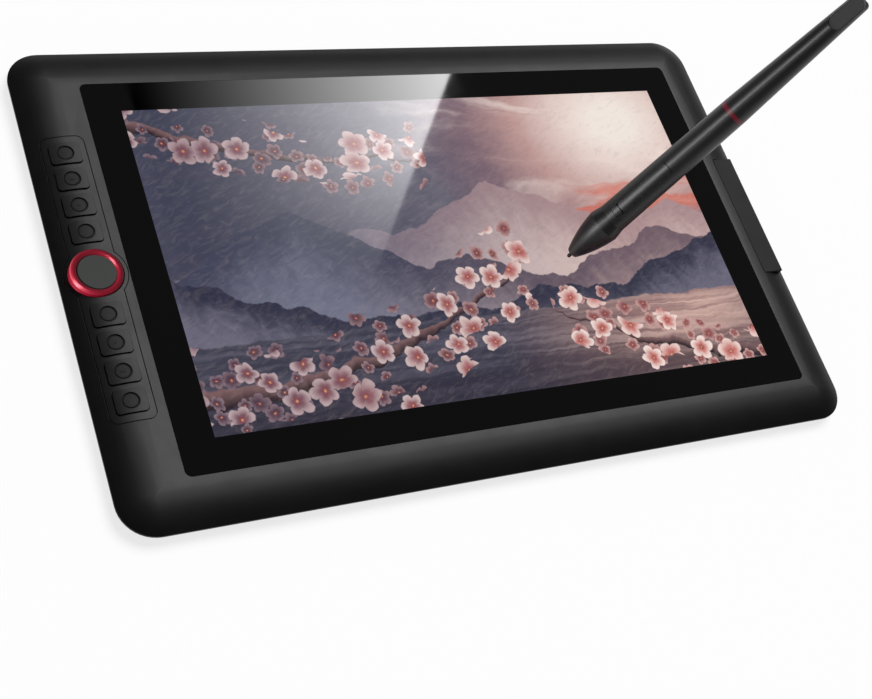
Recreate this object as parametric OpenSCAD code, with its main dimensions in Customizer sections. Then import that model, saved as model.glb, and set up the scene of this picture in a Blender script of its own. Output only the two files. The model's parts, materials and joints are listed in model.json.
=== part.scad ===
// Graphics tablet with a screen: a pen display with eight shortcut keys, a ring dial and its stylus.
// Millimetres, +Z up. The origin lies on the desk, under the middle of the casing.
// +X points to the right of the screen and +Y to its top.

/* [Casing] */
// Width of the casing
body_w = 442.5; // [425:0.5:480]
// Depth of the casing
body_d = 279; // [265:1:320]
// Corner radius of the casing in plan
corner_r = 19; // [14:0.5:23]
// Height of the glass above the desk
glass_z = 12.7; // [12.4:0.1:14]
// Height of the rim, where the sloping border ends
rim_z = 6.8; // [6.5:0.1:7]
// Height of the seam between the front frame and the back cover
seam_z = 5.6; // [5.4:0.1:5.8]
// Width of the band that curves down to the rim
slope_w = 24; // [21:0.5:24.5]
// Thickness of the front frame's top
shell_t = 2.2; // [1.8:0.1:2.6]
// Thickness of the side walls
side_t = 2; // [1.6:0.1:2.4]
// Thickness of the back cover's floor
floor_t = 1.6; // [1.4:0.1:1.8]
// Height of the feet below the floor
foot_h = 1.2; // [0.8:0.1:1.4]
// Width of the band where the back cover curves up to the seam
edge_w = 8; // [7:0.5:9]

/* [Screen] */
// Border between the casing's left edge and the glass
bezel_left = 35; // [34:0.5:44]
// Border between the casing's right edge and the glass
bezel_right = 25.5; // [25:0.5:32]
// Border above and below the glass
bezel_ends = 24.75; // [24.75:0.25:32]
// Corner radius of the glass
glass_r = 3.5; // [1:0.5:8]
// Thickness of the cover glass
glass_t = 1; // [0.7:0.1:1.2]
// Dark border of the glass on the left and right of the picture
mask_x = 18.9; // [14:0.1:26]
// Dark border of the glass above and below the picture
mask_y = 17.95; // [14:0.05:26]
// Width of the ledge that carries the glass
ledge_w = 6; // [5:0.5:7]

/* [Keys] */
// Distance of the key column from the casing's left edge
column_inset = 18.5; // [18.5:0.5:20.5]
// Width of a key
key_w = 15.6; // [12:0.2:16]
// Depth of a key
key_d = 12.6; // [10:0.2:13]
// Corner radius of a key
key_r = 2; // [0.5:0.1:4]
// Distance from one key to the next
key_pitch = 15.9; // [15.4:0.1:17]
// Distance from the dial's centre to the nearest key
key_start = 23.9; // [23.4:0.1:28]
// Height of a key above the panel
key_proud = 0.9; // [0.5:0.1:1.2]
// Travel of a key
key_travel = 0.6; // [0.3:0.1:0.8]
// Diameter of the dimple in a key
dimple_d = 8.5; // [5:0.5:10]
// Width of the key panel
panel_w = 22.8; // [22:0.2:24]
// Margin of the key panel beyond the outermost keys
panel_margin = 4.5; // [4:0.1:8]
// Corner radius of the key panel
panel_r = 4.5; // [2:0.5:8]
// Thickness of the key panel
panel_t = 1.2; // [0.8:0.1:1.4]
// Width of the panel's collar round the dial
collar_w = 2.1; // [1.6:0.1:2.6]

/* [Dial] */
// Outside diameter of the dial ring
dial_d = 27; // [24:0.5:28]
// Diameter of the fixed cap inside the ring
cap_d = 19.7; // [16:0.1:21]
// Height of the ring above the glass
dial_proud = 1.5; // [0.5:0.1:3]
// Depth of the cap below the top of the ring
cap_sunk = 0.8; // [0.2:0.1:1.4]

/* [Port hood] */
// Length of the hood over the port
hood_l = 84; // [60:1:100]
// Width of the hood
hood_w = 14.8; // [14:0.1:17]
// Distance of the hood's outer face from the casing's right edge
hood_inset = 2.8; // [1.5:0.1:3]
// Depth of the hood's top below the glass
hood_drop = 0.6; // [0.2:0.1:1]

/* [Edge buttons] */
// Length of a button in the rear wall
button_l = 9; // [6:0.5:10]
// Height of a button in the rear wall
button_h = 1.5; // [1:0.1:1.5]
// How far a button stands out of the rear wall, at its middle
button_proud = 0.8; // [0.7:0.1:1.2]
// Travel of a button
button_travel = 0.4; // [0.2:0.1:0.6]

/* [Stylus] */
// Length of the stylus
stylus_l = 211; // [195:1:230]
// Diameter of the grip, just behind the nose
stylus_d = 18.1; // [17.6:0.1:19]
// Diameter of the nose at its shoulder
shoulder_d = 20.6; // [19.6:0.1:21.4]
// Diameter at the coloured ring
ring_d = 16.4; // [16:0.1:17]
// Diameter at the tail
tail_d = 10.7; // [10.4:0.1:12]
// Distance from the nib to the end of the nose
nose_l = 33.3; // [32:0.1:34]
// Distance from the nib to the coloured ring
ring_at = 120.5; // [112:0.5:130]
// Width of the coloured ring
ring_w = 2.6; // [1.5:0.1:5]
// Length of the oblique flat at the tail
flat_l = 22; // [16:1:28]
// Width of the plate in that flat
flat_w = 8; // [7:0.2:9.6]
// Width of the side buttons
side_button_w = 6.2; // [4:0.2:7]
// Angle between the stylus and the glass
stylus_tilt = 56.5; // [45:0.5:80]
// Heading of the stylus, turned from +X towards +Y
stylus_heading = 19.6; // [0:0.1:60]
// Turn of the side buttons round the stylus
stylus_roll = 184; // [0:1:360]
// Place of the nib on the glass, to the right of the casing's centre
nib_x = 69.1; // [-100:0.1:75]
// Place of the nib on the glass, above the casing's centre
nib_y = -17.6; // [-80:0.1:40]

/* [Hidden] */
$fn = 96;

// Colours
case_colour = "#2d2d2f";
wall_colour = "#161617";
key_colour = "#303032";
dial_colour = "#a3122c";
cap_colour = "#404240";
board_colour = "#1d5a38";
metal_colour = "#b9bcbf";
flex_colour = "#b0752c";
cell_colour = "#20222c";
stylus_colour = "#1b1b1c";

// Clearances and small allowances
over = 1;
seam_gap = 0.15;
glass_gap = 0.15;
panel_gap = 0.35;
key_gap = 0.3;
button_gap = 0.2;
run_gap = 0.05;
well_gap = 0.3;
part_gap = 0.3;
slide_gap = 0.15;

// Curved border: an arc that leaves the glass level and falls to the rim
slope_fall = glass_z - rim_z;
slope_r = (slope_w * slope_w + slope_fall * slope_fall) / (2 * slope_fall);
slope_cz = glass_z - slope_r;
arc_fn = 360;

// Back cover: an arc that leaves its floor level and rises to the seam
edge_rise = seam_z - foot_h;
edge_r = (edge_w * edge_w + edge_rise * edge_rise) / (2 * edge_rise);
edge_cz = foot_h + edge_r;
tongue_h = 1;
tongue_t = 1.2;
tongue_out = tray_inset(seam_z - tongue_h, floor_t) + part_gap;

// Distance from the casing's edge to the back cover's face at a height, t below its outer surface
function tray_inset(z, t) = edge_w - sqrt(pow(edge_r - t, 2) - pow(edge_cz - z, 2));

// Glass and the layers below it, from the top down
screen_x = (bezel_left - bezel_right) / 2;
glass_w = body_w - bezel_left - bezel_right;
glass_d = body_d - 2 * bezel_ends;
picture_w = glass_w - 2 * mask_x;
picture_d = glass_d - 2 * mask_y;
adhesive_t = 0.2;
lcd_t = 1.2;
film_t = 0.5;
guide_t = 1.2;
reflector_t = 0.2;
digitizer_t = 0.8;
shield_t = 0.2;
plate_t = 0.8;
glass_bottom = glass_z - glass_t;
lcd_top = glass_bottom - adhesive_t;
film_top = lcd_top - lcd_t;
guide_top = film_top - film_t;
reflector_top = guide_top - guide_t;
digitizer_top = reflector_top - reflector_t;
shield_top = digitizer_top - digitizer_t;
plate_top = shield_top - shield_t;
plate_bottom = plate_top - plate_t;
lcd_w = picture_w + 8;
lcd_d = picture_d + 10;
led_w = 2;
frame_rail = 4;
frame_w = lcd_w + 2 * frame_rail;
frame_d = lcd_d + 2 * frame_rail - 2;
digitizer_w = frame_w + 5;
digitizer_d = frame_d + 3;
plate_w = glass_w - 3;
plate_d = glass_d - 3;
flex_t = 0.2;
flex_w = 60;
flex_y = digitizer_d / 2 + 0.4;
flex_slot = 1.4;
flex_lap = 6;

// Boards under the chassis plate
board_t = 1;
standoff_h = 0.7;
standoff_d = 5;
board_top = plate_bottom - standoff_h;
board_bottom = board_top - board_t;
floor_z = foot_h + floor_t;
main_w = 170;
main_d = 110;
main_inset = 126;
main_x = body_w / 2 - main_inset;
chip_h = 1;
can_w = 46;
can_d = 34;
can_h = 1.3;

// Fasteners
screw_d = 2;
screw_head_d = 3.8;
screw_head_h = 0.8;
screw_l = 2.2;
case_screw_l = 4.6;
case_head_h = 0.9;
case_sink = 1.05;
screw_fit = 0.03;
screw_room = 0.2;
boss_d = 5;
case_boss_d = 6;
case_inset = 13.5;
case_x = body_w / 2 - case_inset;
case_y = body_d / 2 - case_inset;
case_points = concat(
    [for (sx = [-1, 1], sy = [-1, 1]) [sx * case_x, sy * case_y]],
    [for (sx = [-1, 1], sy = [-1, 1]) [sx * body_w / 6, sy * case_y]],
    [for (sy = [-1, 1]) [case_x, sy * (hood_l / 2 + 30)]]
);
chassis_x = glass_w / 2 - 3.5;
chassis_y = glass_d / 2 - 3.5;
chassis_points = concat(
    [for (sx = [-1, 1], y = [-80, 0, 80]) [screen_x + sx * chassis_x, y]],
    [for (sx = [-1, 1], sy = [-1, 1]) [screen_x + sx * glass_w / 3, sy * chassis_y]]
);
main_points = [for (sx = [-1, 1], sy = [-1, 1]) [main_x + sx * (main_w / 2 - 5), sy * (main_d / 2 - 5)]];

// Key column
column_x = -body_w / 2 + column_inset;
key_reach = key_start + 3 * key_pitch;
key_ys = [for (i = [3:-1:0]) key_start + i * key_pitch, for (i = [0:3]) -key_start - i * key_pitch];
panel_d = 2 * (key_reach + key_d / 2 + panel_margin);
panel_ledge = 1.5;
flange_w = 0.9;
flange_t = 0.8;
flange_gap = 0.1;
dimple_depth = 0.3;
groove_w = 0.5;
groove_depth = 0.25;
mark_h = 0.2;
stem_d = 2.2;
switch_w = 5;
switch_h = 2;
stem_in = 0.3;
switch_spare = 0.4;
switch_bore = stem_in + key_travel + switch_spare;
key_boss_x = -body_w / 2 + bezel_left - boss_d / 2;
key_board_left = column_x - 9.5;
key_board_right = key_boss_x + boss_d / 2;
key_board_d = panel_d - 1;
key_points = [for (y = [key_start, key_reach]) for (s = [-1, 1]) [key_boss_x, s * y]];

// Dial, from the board up
sensor_h = 0.4;
magnet_z = board_top + sensor_h + 0.2;
magnet_t = 0.5;
dial_flange_z = magnet_z + magnet_t;
dial_flange_t = 0.6;
collar_z = dial_flange_z + dial_flange_t + 0.2;
dial_top = glass_z + dial_proud;
cap_top = dial_top - cap_sunk;
dial_in_r = cap_d / 2 + run_gap;
dial_out_r = dial_d / 2;
well_r = dial_out_r + well_gap;
collar_r = well_r + collar_w;
dial_flange_r = collar_r - panel_gap - part_gap;
dial_round = (dial_out_r - dial_in_r) / 2;

// Port hood and socket
hood_x1 = body_w / 2 - hood_inset;
hood_x0 = hood_x1 - hood_w;
hood_top = glass_z - hood_drop;
hood_floor_t = 0.6;
hood_z = seam_z + hood_floor_t;
hood_t = 1.3;
hood_edge = 0.5;
hood_corner_r = 1.6;
well_t = 2;
port_t = 1;
socket_w = 8.94;
socket_h = 3.26;
socket_l = 7.3;
socket_wall = 0.35;
socket_tongue_w = 6.7;
socket_tongue_t = 0.7;
socket_sunk = 0.4;
socket_z = hood_z + port_t + socket_h / 2;
port_slot_x = hood_x0 + hood_t + 2;
port_slot_w = 1;
port_cable_w = 14;

// Edge buttons in the rear wall
wall_y = body_d / 2;
button_z = (floor_z + seam_z) / 2;
button_xs = [body_w / 2 - 56, body_w / 2 - 81, body_w / 2 - 95];
button_flange_t = 0.8;
button_flange_w = 1;
button_stub_d = 1;
button_stub_l = 2.6;
button_switch_w = 6;
button_switch_d = 3;
button_face_y = wall_y - tray_inset(button_z, 0) + button_proud;
button_inner_y = wall_y - tray_inset(button_z - button_h / 2, floor_t) - flange_gap;
button_stub_y = button_inner_y - button_flange_t - button_stub_l;
button_switch_y = button_stub_y + stem_in;
button_board_side = 8;
button_board_x0 = button_xs[2] - button_l / 2 - button_board_side;
button_board_x1 = button_xs[0] + button_l / 2 + button_board_side;
button_board_d = 8;
button_board_t = 0.6;
stake_d = 1.8;
stake_proud = 0.4;
button_board_y = button_switch_y - 5;
button_cable_w = 10;
button_cable_at = 14;
button_cable_x = button_board_x0 + button_cable_at;
button_points = [[button_board_x0 + 3, button_board_y], [button_board_x1 - 3, button_board_y]];

// Feet
foot_w = 46;
foot_d = 9;
foot_in = 0.5;
foot_x = body_w / 2 - 46;
foot_y = body_d / 2 - 21;

// Stylus, along its own axis from the centre of the nib's ball
nib_r = 1.1;
nib_rest = 0.05;
nose_side_z = 3;
nose_front_r = 3.6;
nose_edge_r = 2;
nose_bulge = 1;
nose_neck = 6.5;
shoulder_z = nose_l - nose_neck;
shoulder_r = shoulder_d / 2;
stylus_r = stylus_d / 2;
ring_r = ring_d / 2;
stylus_wall = 1.65;
bore_r = ring_r - stylus_wall;
coil_z = 8;
coil_r = 4;
coil_end = nose_l - 3;
tail_round = 2.6;
tail_r = tail_d / 2;
rear_at = ring_at + ring_w;
tail_z = stylus_l - tail_round;
rear_bore_l = 44;
tail_plate_t = 0.8;
tail_plate_end = 1.2;
tail_turn = 4;
carrier_end = 76;
carrier_r = bore_r - 0.1;
carrier_wall = 1.9;
seat_x = 1.6;
stylus_board_t = 0.8;
stylus_board_w = 6.8;
stylus_board_l = 120;
rear_bore_r = norm([seat_x + stylus_board_t, stylus_board_w / 2]) + slide_gap;
sensor_l = 8;
nib_end = carrier_end + 2;
front_button_z = [37.8, 42];
rear_button_z = [42.4, 77.4];
side_button_r = 1.2;
side_button_proud = 0.35;
side_button_t = 1.3;
side_stem_w = 2;
side_travel = 0.4;
side_switch_h = 1.2;
flat_h = chord_height(rear_radius(stylus_l - flat_l));
flat_angle = atan((flat_h - chord_height(tail_r)) / flat_l);

// Radius of the tapered grip at a height along the stylus
function grip_radius(z) = stylus_r + (ring_r - stylus_r) * (z - nose_l) / (ring_at - nose_l);

// Radius of the tapered rear barrel at a height along the stylus
function rear_radius(z) = ring_r + (tail_r - ring_r) * (z - rear_at) / (tail_z - rear_at);

// Distance from the stylus axis at which the flat is as wide as its plate
function chord_height(r) = sqrt(r * r - flat_w * flat_w / 4);

// Plain plan shapes

module rounded(w, d, r) {
    square([w - 2 * r, d], center = true);
    square([w, d - 2 * r], center = true);
    for (sx = [-1, 1], sy = [-1, 1])
        translate([sx * (w / 2 - r), sy * (d / 2 - r)])
            circle(r);
}

module slab(w, d, r, z, h) {
    translate([0, 0, z])
        linear_extrude(h)
            rounded(w, d, r);
}

module block(x0, x1, y0, y1, z0, z1) {
    translate([x0, y0, z0])
        cube([x1 - x0, y1 - y0, z1 - z0]);
}

module outline_slab(inset, z, h) {
    slab(body_w - 2 * inset, body_d - 2 * inset, corner_r - inset, z, h);
}

module post(d, z0, z1) {
    translate([0, 0, z0])
        cylinder(d = d, h = z1 - z0);
}

module at(points) {
    for (p = points)
        translate(p)
            children();
}

// Rim sections: they start at the casing's edge and run inwards along +X

module crown_edge(drop, inset, z0) {
    intersection() {
        union() {
            translate([slope_w, slope_cz - drop])
                circle(slope_r, $fn = arc_fn);
            translate([slope_w, z0])
                square([body_w, glass_z - drop - z0]);
        }
        translate([inset, z0])
            square([body_w, glass_z - drop - z0]);
    }
}

module tray_edge(t, z1) {
    intersection() {
        union() {
            translate([edge_w, edge_cz])
                circle(edge_r - t, $fn = arc_fn);
            translate([edge_w, foot_h + t])
                square([body_w, z1 - foot_h - t]);
        }
        translate([0, foot_h + t])
            square([body_w, z1 - foot_h - t]);
    }
}

// Lays a rim section between two opposite edges
module between_edges(half) {
    intersection() {
        translate([-half, 0])
            children();
        translate([half, 0])
            mirror([1, 0])
                children();
    }
}

// Sweeps a rim section round the casing's whole outline
module around_casing() {
    corner_x = body_w / 2 - corner_r;
    corner_y = body_d / 2 - corner_r;
    difference() {
        intersection() {
            translate([0, body_d / 2, 0])
                rotate([90, 0, 0])
                    linear_extrude(body_d)
                        between_edges(body_w / 2)
                            children();
            translate([-body_w / 2, 0, 0])
                rotate([90, 0, 90])
                    linear_extrude(body_w)
                        between_edges(body_d / 2)
                            children();
        }
        for (sx = [-1, 1], sy = [-1, 1])
            translate([sx * (corner_x + corner_r), sy * (corner_y + corner_r), glass_z / 2])
                cube([2 * corner_r, 2 * corner_r, 2 * glass_z], center = true);
    }
    for (sx = [0, 1], sy = [0, 1])
        mirror([sx, 0, 0])
            mirror([0, sy, 0])
                translate([corner_x, corner_y, 0])
                    rotate_extrude(angle = 90)
                        intersection() {
                            translate([corner_r, 0])
                                mirror([1, 0])
                                    children();
                            square([corner_r, glass_z]);
                        }
}

// Everything below the border's surface, lowered by drop and drawn in by inset
module crown(drop, inset, z0) {
    around_casing()
        crown_edge(drop, inset, z0);
}

// The same surface along the left border alone, for the key column
module under_border(rise) {
    translate([-body_w / 2, panel_d / 2 + over, 0])
        rotate([90, 0, 0])
            linear_extrude(panel_d + 2 * over)
                crown_edge(-rise, 0, 0);
}

// A layer of the key column that follows the border, between two depths from its surface
module border_layer(top, bottom) {
    difference() {
        intersection() {
            linear_extrude(2 * glass_z)
                children();
            under_border(top);
        }
        under_border(bottom);
    }
}

// Key panel outlines

module panel_outline(grow) {
    translate([column_x, 0]) {
        rounded(panel_w + 2 * grow, panel_d + 2 * grow, panel_r + grow);
        circle(collar_r + grow);
    }
}

module key_outline(i, grow) {
    translate([column_x, key_ys[i]])
        rounded(key_w + 2 * grow, key_d + 2 * grow, key_r + grow);
}

// Screws: the head sits below, the shank points up from z = 0

module screw(length, head_h) {
    color(metal_colour) {
        post(screw_d, 0, length);
        difference() {
            post(screw_head_d, -head_h, 0);
            translate([0, 0, -head_h - over])
                cylinder(d = screw_d * 0.7, h = over + head_h / 2, $fn = 6);
        }
    }
}

module screw_hole(z0, z1) {
    post(screw_d + 2 * screw_room, z0, z1);
}

module screw_thread(z0, z1) {
    post(screw_d + 2 * screw_fit, z0, z1);
}

// Casing

module hood_block(grow, z0, z1) {
    translate([(hood_x0 + hood_x1) / 2, 0, 0])
        slab(hood_w + 2 * grow, hood_l + 2 * grow, hood_corner_r + grow, z0, z1 - z0);
}

module frame_bosses() {
    at(case_points) post(case_boss_d, floor_z, glass_z);
    at(chassis_points) post(boss_d, plate_top, glass_z);
    at(key_points) post(boss_d, board_top, glass_z);
}

module frame_tongue() {
    difference() {
        outline_slab(tongue_out, seam_z - tongue_h, 2 * tongue_h + over);
        outline_slab(tongue_out + tongue_t, seam_z - 2 * tongue_h, 4 * tongue_h + over);
        block(button_board_x0, button_board_x1, wall_y - 2 * tongue_out, wall_y, 0, seam_z);
    }
}

module hood_well() {
    well = seam_gap + well_t;
    block(hood_x0 - well, body_w / 2, -hood_l / 2 - well, hood_l / 2 + well, seam_z, glass_z);
}

module frame_cuts() {
    translate([screen_x, 0, 0]) {
        slab(
            glass_w + 2 * glass_gap, glass_d + 2 * glass_gap, glass_r + glass_gap,
            glass_bottom, 2 * glass_t
        );
        slab(glass_w - 2 * ledge_w, glass_d - 2 * ledge_w, glass_r, plate_top, glass_z);
    }
    difference() {
        linear_extrude(2 * glass_z)
            panel_outline(0);
        under_border(-panel_t);
    }
    linear_extrude(2 * glass_z)
        translate([column_x, 0]) {
            rounded(panel_w - 2 * panel_ledge, panel_d - 2 * panel_ledge, panel_r);
            circle(collar_r);
        }
    hood_block(seam_gap, hood_z, 2 * glass_z);
    block(port_slot_x, port_slot_x + port_slot_w, -port_cable_w / 2 - 1, port_cable_w / 2 + 1, 0, glass_z);
    at(case_points) screw_thread(0, floor_z + case_screw_l);
    at(chassis_points) screw_thread(0, plate_top + screw_l);
    at(key_points) screw_thread(0, board_top + screw_l);
}

module front_frame() {
    color(case_colour)
        difference() {
            union() {
                difference() {
                    crown(0, 0, seam_z);
                    crown(shell_t, side_t, 0);
                }
                intersection() {
                    crown(shell_t / 2, side_t / 2, 0);
                    union() {
                        frame_bosses();
                        frame_tongue();
                        hood_well();
                    }
                }
            }
            frame_cuts();
        }
}

module foot_plan(grow) {
    rounded(foot_w + 2 * grow, foot_d + 2 * grow, foot_d / 2 + grow - 0.01);
}

module at_feet() {
    for (sx = [-1, 1], sy = [-1, 1])
        translate([sx * foot_x, sy * foot_y, 0])
            children();
}

module button_plan(grow) {
    rounded(button_l + 2 * grow, button_h + 2 * grow, button_h / 2 + grow - 0.01);
}

// Places a plan shape upright in the rear wall, running back from y by depth
module in_rear_wall(x, y, depth) {
    translate([x, y, button_z])
        rotate([90, 0, 0])
            linear_extrude(depth)
                children();
}

module back_cover() {
    color(wall_colour)
        difference() {
            around_casing()
                tray_edge(0, seam_z);
            around_casing()
                tray_edge(floor_t, seam_z + over);
            at(case_points) {
                screw_hole(0, seam_z);
                post(screw_head_d + 2 * screw_room, 0, foot_h + case_sink);
            }
            at_feet()
                translate([0, 0, foot_h - over])
                    linear_extrude(foot_in + over)
                        foot_plan(0.1);
            for (x = button_xs)
                in_rear_wall(x, wall_y + over, wall_y + over - button_inner_y)
                    button_plan(button_gap);
        }
    color(wall_colour)
        at(button_points)
            post(stake_d, floor_z - over / 2, floor_z + button_board_t + stake_proud);
}

module rubber_feet() {
    color("#101011")
        at_feet()
            linear_extrude(foot_h + foot_in)
                foot_plan(0);
}

module case_screws() {
    at(case_points)
        translate([0, 0, foot_h + case_sink])
            screw(case_screw_l, case_head_h);
}

module inner_screws() {
    at(chassis_points)
        translate([0, 0, plate_bottom])
            screw(screw_l, screw_head_h);
    at(concat(key_points, main_points))
        translate([0, 0, board_bottom])
            screw(screw_l, screw_head_h);
}

// Key column

module key_panel() {
    color(case_colour)
        difference() {
            union() {
                border_layer(0, -panel_t)
                    panel_outline(-panel_gap);
                intersection() {
                    translate([column_x, 0, 0])
                        post(2 * (collar_r - panel_gap), collar_z, 2 * glass_z);
                    under_border(0);
                }
            }
            linear_extrude(2 * glass_z) {
                for (i = [0:7])
                    key_outline(i, key_gap);
                translate([column_x, 0])
                    circle(well_r);
            }
            at_dial()
                post(2 * collar_r, 0, collar_z);
        }
}

// A key: its cap follows the border, and a lip under the panel keeps it in
module key_cap(i) {
    lip_top = -panel_t - flange_gap;
    difference() {
        border_layer(key_proud, lip_top - flange_t)
            key_outline(i, 0);
        border_layer(2 * key_proud, key_proud - dimple_depth)
            translate([column_x, key_ys[i]])
                circle(d = dimple_d);
        border_layer(2 * key_proud, key_proud - dimple_depth - groove_depth)
            translate([column_x, key_ys[i]])
                difference() {
                    circle(d = dimple_d);
                    circle(d = dimple_d - 2 * groove_w);
                }
    }
    border_layer(lip_top, lip_top - flange_t)
        key_outline(i, flange_w);
    intersection() {
        translate([column_x, key_ys[i], 0])
            post(stem_d, board_top + switch_h - stem_in, glass_z);
        under_border(lip_top);
    }
}

module key_mark(i) {
    border_layer(key_proud - dimple_depth + mark_h, key_proud - dimple_depth - mark_h)
        translate([column_x, key_ys[i]])
            children();
}

module plain_key(i) {
    color(key_colour)
        key_cap(i);
}

module dash_key(i) {
    color(key_colour) {
        key_cap(i);
        key_mark(i) rounded(2.6, 0.9, 0.4);
    }
}

module dot_key(i) {
    color(key_colour) {
        key_cap(i);
        key_mark(i) circle(d = 1.2);
    }
}

module key_1() { plain_key(0); }
module key_2() { dash_key(1); }
module key_3() { dot_key(2); }
module key_4() { plain_key(3); }
module key_5() { plain_key(4); }
module key_6() { dot_key(5); }
module key_7() { dash_key(6); }
module key_8() { plain_key(7); }

module key_switches() {
    color("#55565a")
        for (y = key_ys)
            translate([column_x, y, board_top])
                difference() {
                    linear_extrude(switch_h)
                        square(switch_w, center = true);
                    post(stem_d + 2 * slide_gap, switch_h - switch_bore, switch_h + over);
                }
}

module key_board() {
    color(board_colour)
        difference() {
            block(
                key_board_left, key_board_right, -key_board_d / 2, key_board_d / 2,
                board_bottom, board_top
            );
            at(key_points) screw_hole(0, glass_z);
        }
}

// Dial

module at_dial() {
    translate([column_x, 0, 0])
        children();
}

module dial_ring() {
    round_z = dial_top - dial_round;
    color(dial_colour)
        at_dial()
            rotate_extrude() {
                translate([dial_in_r, dial_flange_z])
                    square([2 * dial_round, round_z - dial_flange_z]);
                translate([dial_in_r + dial_round, round_z])
                    circle(dial_round);
                translate([dial_in_r, dial_flange_z])
                    square([dial_flange_r - dial_in_r, dial_flange_t]);
            }
}

module dial_magnet() {
    color("#3a3a3c")
        at_dial()
            rotate_extrude()
                translate([dial_in_r + 1, magnet_z])
                    square([dial_flange_r - dial_in_r - 2, magnet_t]);
}

module dial_hub() {
    chamfer = 0.3;
    cap_r = cap_d / 2;
    hollow_r = cap_r - 2.5;
    color(cap_colour)
        at_dial()
            rotate_extrude()
                polygon([
                    [hollow_r, board_top], [cap_r, board_top], [cap_r, cap_top - chamfer],
                    [cap_r - chamfer, cap_top], [0, cap_top], [0, cap_top - 2.5], [hollow_r, cap_top - 2.5]
                ]);
}

module dial_sensors() {
    color("#222224")
        at_dial()
            for (a = [45, 135])
                rotate([0, 0, a])
                    block(dial_in_r + 1, dial_in_r + 3.5, -1.2, 1.2, board_top, board_top + sensor_h);
}

// Screen layers

module layer(w, d, z, t) {
    translate([screen_x, 0, z - t / 2])
        cube([w, d, t], center = true);
}

module cover_glass() {
    color("#0b0b0d")
        translate([screen_x, 0, 0])
            slab(glass_w, glass_d, glass_r, glass_bottom, glass_t);
}

module optical_adhesive() {
    color("#dfe6ea")
        layer(lcd_w, lcd_d, glass_bottom, adhesive_t);
}

module lcd_panel() {
    color(cell_colour)
        layer(lcd_w, lcd_d, lcd_top, lcd_t);
}

module diffuser_films() {
    color("#eef0ee")
        layer(lcd_w, lcd_d, film_top, film_t);
}

module light_guide() {
    room = led_w + part_gap;
    color("#d6ecf2")
        translate([0, room / 2, 0])
            layer(lcd_w, lcd_d - room, guide_top, guide_t);
}

module led_bar() {
    color("#f4edc8")
        translate([0, -(lcd_d - led_w) / 2, 0])
            layer(lcd_w - 10, led_w, reflector_top + board_t, board_t);
}

module reflector_sheet() {
    color("#f7f7f7")
        layer(lcd_w, lcd_d, reflector_top, reflector_t);
}

module panel_frame() {
    h = digitizer_top - film_top;
    color("#e2e2de")
        difference() {
            layer(frame_w, frame_d, film_top, -h);
            layer(lcd_w + 2 * part_gap, lcd_d + 2 * part_gap, film_top + over, 2 * over - h);
        }
}

module digitizer_board() {
    color(board_colour)
        layer(digitizer_w, digitizer_d, digitizer_top, digitizer_t);
}

module shield_sheet() {
    color("#8d8f92")
        layer(digitizer_w, digitizer_d, shield_top, shield_t);
}

module chassis_plate() {
    color(metal_colour)
        difference() {
            layer(plate_w, plate_d, plate_top, plate_t);
            at(chassis_points) screw_hole(0, glass_z);
            at(main_points) screw_hole(0, glass_z);
            for (s = [-1, 1])
                translate([main_x, s * flex_y, plate_bottom])
                    cube([flex_w + 2, flex_slot, 4 * plate_t], center = true);
        }
}

// A flat flex from a layer's edge, down through the chassis plate and in to the main board's top
module fold_flex(edge_y, z) {
    x0 = main_x - flex_w / 2;
    x1 = main_x + flex_w / 2;
    block(x0, x1, edge_y, flex_y + flex_t / 2, z - flex_t, z);
    block(x0, x1, flex_y - flex_t / 2, flex_y + flex_t / 2, board_top, z);
    block(x0, x1, main_d / 2 - flex_lap, flex_y + flex_t / 2, board_top, board_top + flex_t);
}

module display_flex() {
    color(flex_colour)
        mirror([0, 1, 0])
            fold_flex(lcd_d / 2, film_top + 2 * flex_t);
}

module digitizer_flex() {
    color(flex_colour)
        fold_flex(digitizer_d / 2, digitizer_top - flex_t);
}

// Boards and what is on them

module main_board() {
    color(board_colour)
        difference() {
            translate([main_x, 0, board_bottom + board_t / 2])
                cube([main_w, main_d, board_t], center = true);
            at(main_points) screw_hole(0, glass_z);
        }
}

module board_standoffs() {
    color("#c8a24a")
        at(main_points)
            difference() {
                post(standoff_d, board_top, plate_bottom);
                screw_thread(0, glass_z);
            }
}

module board_chips() {
    color("#18181a")
        for (p = [[-52, 20, 14], [-52, -22, 10], [50, 24, 12], [55, -20, 9]])
            translate([main_x + p[0], p[1], board_bottom - chip_h / 2])
                cube([p[2], p[2], chip_h], center = true);
}

module shield_can() {
    t = 0.3;
    color("#a9acb0")
        translate([main_x, 0, board_bottom])
            difference() {
                translate([0, 0, -can_h / 2])
                    cube([can_w, can_d, can_h], center = true);
                translate([0, 0, (t - can_h) / 2 + t])
                    cube([can_w - 2 * t, can_d - 2 * t, can_h + t], center = true);
            }
}

module key_cable() {
    block(key_boss_x - 2, main_x - main_w / 2 + 4, -45, -33, board_bottom - flex_t, board_bottom);
}

module port_cable() {
    x = port_slot_x + port_slot_w / 2;
    y = port_cable_w / 2;
    block(main_x + main_w / 2 - 5, x + flex_t / 2, -y, y, board_bottom - flex_t, board_bottom);
    block(x - flex_t / 2, x + flex_t / 2, -y, y, board_bottom - flex_t, hood_z);
}

module button_cable() {
    z = floor_z + button_board_t;
    y = main_d / 2 - flex_lap;
    x0 = button_cable_x - button_cable_w / 2;
    x1 = button_cable_x + button_cable_w / 2;
    block(x0, x1, y, button_board_y, z, z + flex_t);
    block(x0, x1, y, y + flex_t, z, board_bottom);
}

module flat_cables() {
    color("#d8d8d4") {
        key_cable();
        port_cable();
        button_cable();
    }
}

// Port hood on the right border

module chamfered(w, h) {
    polygon([
        [0, 0], [w, 0], [w, h - hood_edge], [w - hood_edge, h], [hood_edge, h], [0, h - hood_edge]
    ]);
}

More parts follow.
